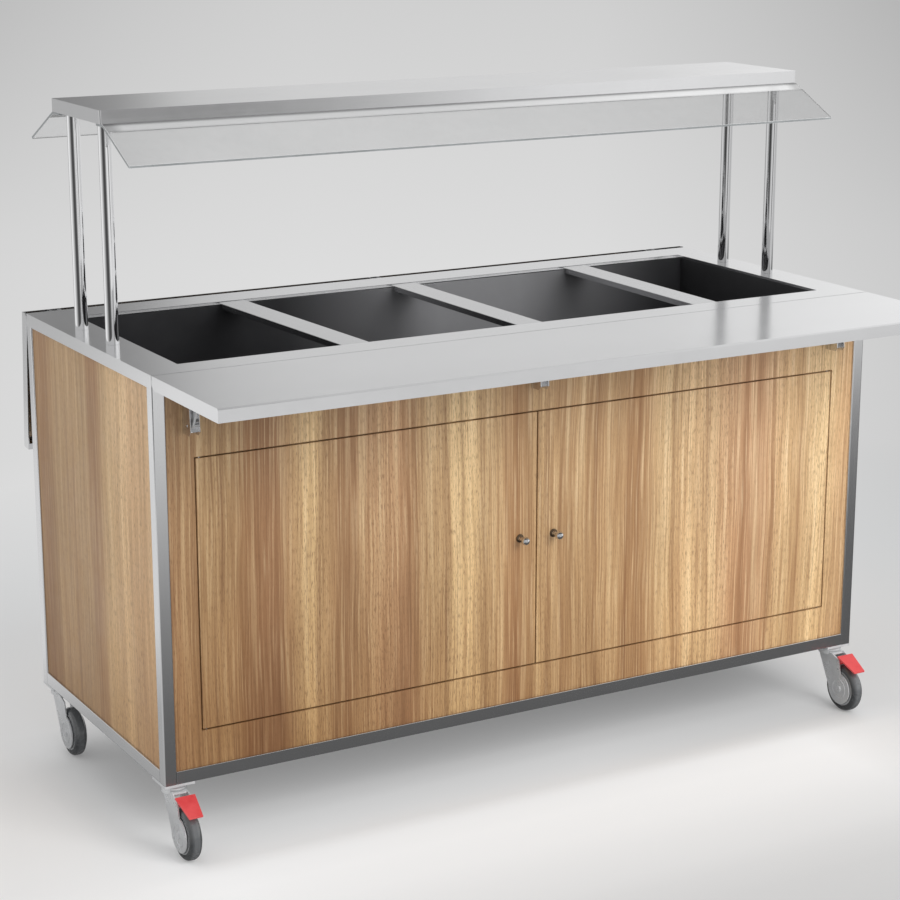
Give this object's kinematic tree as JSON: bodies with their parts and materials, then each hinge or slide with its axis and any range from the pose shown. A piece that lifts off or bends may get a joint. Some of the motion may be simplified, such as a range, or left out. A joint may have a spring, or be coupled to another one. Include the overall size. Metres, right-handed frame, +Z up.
{
  "type": "refrigerated buffet trolley",
  "caption": "Long buffet trolley with a chilled well in a steel worktop, wood cabinet with doors, clear guards on a canopy, folding trays and braked swivel castors.",
  "frame": {"origin": "on the floor, in the middle of the footprint from the raised front tray to the folded rear tray", "axes": "+X along the worktop to the right end, +Y from the front with the doors to the rear, +Z up"},
  "size_m": [1.6, 0.9785, 1.35],
  "materials": {
    "steel": "brushed",
    "oak": "satin, upright grain",
    "chrome": "polished",
    "clear": "clear sheet",
    "tyre": "smooth",
    "hub": "satin",
    "zinc": "bright zinc",
    "red": "satin",
    "black_plastic": "matt",
    "black_paint": "satin",
    "foam": "closed-cell foam",
    "copper": "drawn tube",
    "aluminium": "mill finish",
    "red_paint": "gloss"
  },
  "bodies": {
    "trolley": {"corner_posts": "steel", "bottom_rails_long": "steel", "bottom_rails_short": "steel", "top_rails": "steel", "floor_panel": "steel", "panel_left": "oak", "panel_right": "oak", "panel_rear": "oak", "door_surround": "oak", "door_pivots": "steel", "magnet_catch": "black_plastic", "worktop": "steel", "well_tank": "steel", "insulation_jacket": "foam", "evaporator": "copper", "drain_valve": "steel", "canopy": "steel", "canopy_posts": "steel", "guard_front": "clear", "guard_rear": "clear", "guard_screws": "steel", "front_brackets": "steel", "rear_brackets": "steel", "castor_plates": "zinc", "unit_base": "black_paint", "compressor": "black_paint", "condenser": "aluminium", "fan_motor": "black_paint", "refrigerant_pipes": "copper", "vent_grille": "black_paint", "control_panel": "black_plastic", "cable_gland": "black_plastic"},
    "left_door": {"door_left": "oak", "knob_left": "chrome"},
    "right_door": {"door_right": "oak", "knob_right": "chrome"},
    "bar_1": {"divider_bar_1": "steel"},
    "bar_2": {"divider_bar_2": "steel"},
    "bar_3": {"divider_bar_3": "steel"},
    "lever": {"valve_lever": "red_paint"},
    "tray_front": {"front_tray": "steel"},
    "tray_rear": {"rear_tray": "steel"},
    "stays_front": {"front_stays": "steel"},
    "stays_rear": {"rear_stays": "steel"},
    "fan_wheel": {"fan": "aluminium"},
    "rocker_key": {"rocker": "red"},
    "brake_left": {"pedal_left": "red"},
    "brake_right": {"pedal_right": "red"},
    "castor_front_left": {"fork_front_left": "zinc"},
    "wheel_front_left": {"hub_front_left": "hub", "tyre_front_left": "tyre"},
    "castor_rear_left": {"fork_rear_left": "zinc"},
    "wheel_rear_left": {"hub_rear_left": "hub", "tyre_rear_left": "tyre"},
    "castor_front_right": {"fork_front_right": "zinc"},
    "wheel_front_right": {"hub_front_right": "hub", "tyre_front_right": "tyre"},
    "castor_rear_right": {"fork_rear_right": "zinc"},
    "wheel_rear_right": {"hub_rear_right": "hub", "tyre_rear_right": "tyre"}
  },
  "joints": [
    {"name": "left_door_swing", "type": "hinge", "parent": "trolley", "child": "left_door", "pos_m": [-0.711, -0.19635, 0.5], "axis": [0, 0, -1], "range_deg": [0, 105]},
    {"name": "right_door_swing", "type": "hinge", "parent": "trolley", "child": "right_door", "pos_m": [0.711, -0.19635, 0.5], "axis": [0, 0, 1], "range_deg": [0, 105]},
    {"name": "bar_1_slide", "type": "slide", "parent": "trolley", "child": "bar_1", "axis": [1, 0, 0], "range_m": [-0.14, 0.14]},
    {"name": "bar_2_slide", "type": "slide", "parent": "trolley", "child": "bar_2", "axis": [1, 0, 0], "range_m": [-0.14, 0.14]},
    {"name": "bar_3_slide", "type": "slide", "parent": "trolley", "child": "bar_3", "axis": [1, 0, 0], "range_m": [-0.14, 0.14]},
    {"name": "valve_turn", "type": "hinge", "parent": "trolley", "child": "lever", "pos_m": [-0.65, -0.09135, 0.6775], "axis": [0, 1, 0], "range_deg": [0, 90]},
    {"name": "front_tray_fold", "type": "hinge", "parent": "trolley", "child": "tray_front", "pos_m": [0, -0.21685, 0.8995], "axis": [-1, 0, 0], "range_deg": [-85, 0]},
    {"name": "rear_tray_fold", "type": "hinge", "parent": "trolley", "child": "tray_rear", "pos_m": [0, 0.45315, 0.8995], "axis": [1, 0, 0], "range_deg": [0, 85]},
    {"name": "front_stay_turn", "type": "hinge", "parent": "trolley", "child": "stays_front", "pos_m": [0, -0.22085, 0.8175], "axis": [-1, 0, 0], "range_deg": [-141.01, 0]},
    {"name": "rear_stay_turn", "type": "hinge", "parent": "trolley", "child": "stays_rear", "pos_m": [0, 0.45715, 0.8175], "axis": [1, 0, 0], "range_deg": [0, 141.01]},
    {"name": "swivel_front_left", "type": "hinge", "parent": "trolley", "child": "castor_front_left", "pos_m": [-0.77, -0.17435, 0.125], "axis": [0, 0, 1], "continuous": true},
    {"name": "roll_front_left", "type": "hinge", "parent": "castor_front_left", "child": "wheel_front_left", "pos_m": [-0.77, -0.22935, 0.05], "axis": [1, 0, 0], "continuous": true},
    {"name": "swivel_rear_left", "type": "hinge", "parent": "trolley", "child": "castor_rear_left", "pos_m": [-0.77, 0.41065, 0.125], "axis": [0, 0, 1], "continuous": true},
    {"name": "roll_rear_left", "type": "hinge", "parent": "castor_rear_left", "child": "wheel_rear_left", "pos_m": [-0.77, 0.35565, 0.05], "axis": [1, 0, 0], "continuous": true},
    {"name": "brake_left_press", "type": "hinge", "parent": "castor_front_left", "child": "brake_left", "pos_m": [-0.77, -0.22235, 0.107], "axis": [1, 0, 0], "range_deg": [0, 15]},
    {"name": "swivel_front_right", "type": "hinge", "parent": "trolley", "child": "castor_front_right", "pos_m": [0.77, -0.17435, 0.125], "axis": [0, 0, 1], "continuous": true},
    {"name": "roll_front_right", "type": "hinge", "parent": "castor_front_right", "child": "wheel_front_right", "pos_m": [0.77, -0.22935, 0.05], "axis": [1, 0, 0], "continuous": true},
    {"name": "swivel_rear_right", "type": "hinge", "parent": "trolley", "child": "castor_rear_right", "pos_m": [0.77, 0.41065, 0.125], "axis": [0, 0, 1], "continuous": true},
    {"name": "roll_rear_right", "type": "hinge", "parent": "castor_rear_right", "child": "wheel_rear_right", "pos_m": [0.77, 0.35565, 0.05], "axis": [1, 0, 0], "continuous": true},
    {"name": "brake_right_press", "type": "hinge", "parent": "castor_front_right", "child": "brake_right", "pos_m": [0.77, -0.22235, 0.107], "axis": [1, 0, 0], "range_deg": [0, 15]},
    {"name": "fan_spin", "type": "hinge", "parent": "trolley", "child": "fan_wheel", "pos_m": [0.672, 0.06565, 0.3], "axis": [1, 0, 0], "continuous": true},
    {"name": "rocker_tilt", "type": "hinge", "parent": "trolley", "child": "rocker_key", "pos_m": [0.789, 0.09065, 0.59], "axis": [0, 1, 0], "range_deg": [-20, 0]}
  ],
  "couplings": [
    {"joint": "front_stay_turn", "follows": "front_tray_fold", "ratio": 1.6588},
    {"joint": "rear_stay_turn", "follows": "rear_tray_fold", "ratio": 1.6588}
  ]
}
